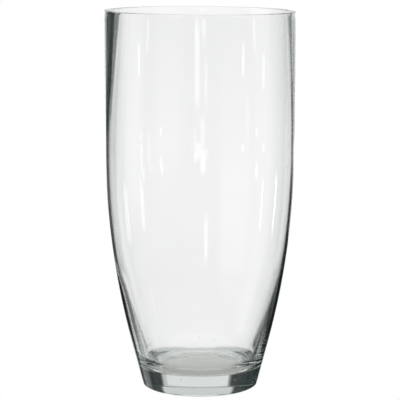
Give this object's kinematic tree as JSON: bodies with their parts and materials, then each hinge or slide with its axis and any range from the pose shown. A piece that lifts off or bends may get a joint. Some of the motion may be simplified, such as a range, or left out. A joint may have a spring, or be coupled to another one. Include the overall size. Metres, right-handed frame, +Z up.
{
  "type": "glass cylinder vase",
  "caption": "Tall free-standing clear glass vase for cut flowers: a straight cylinder above, drawn in below to a smaller, heavy solid foot, with a flat cut and polished rim.",
  "frame": {"origin": "middle of the underside, on the plane the vase stands on", "axes": "+Z up along the vase's axis, from the foot towards the rim; the vase is round, so +X and +Y are free"},
  "size_m": [0.15, 0.15, 0.3],
  "materials": {
    "clear_glass": "clear and glossy, with a faint grey-green tint where the glass is thick"
  },
  "bodies": {
    "root": {"glass_vase": "clear_glass"}
  },
  "joints": []
}
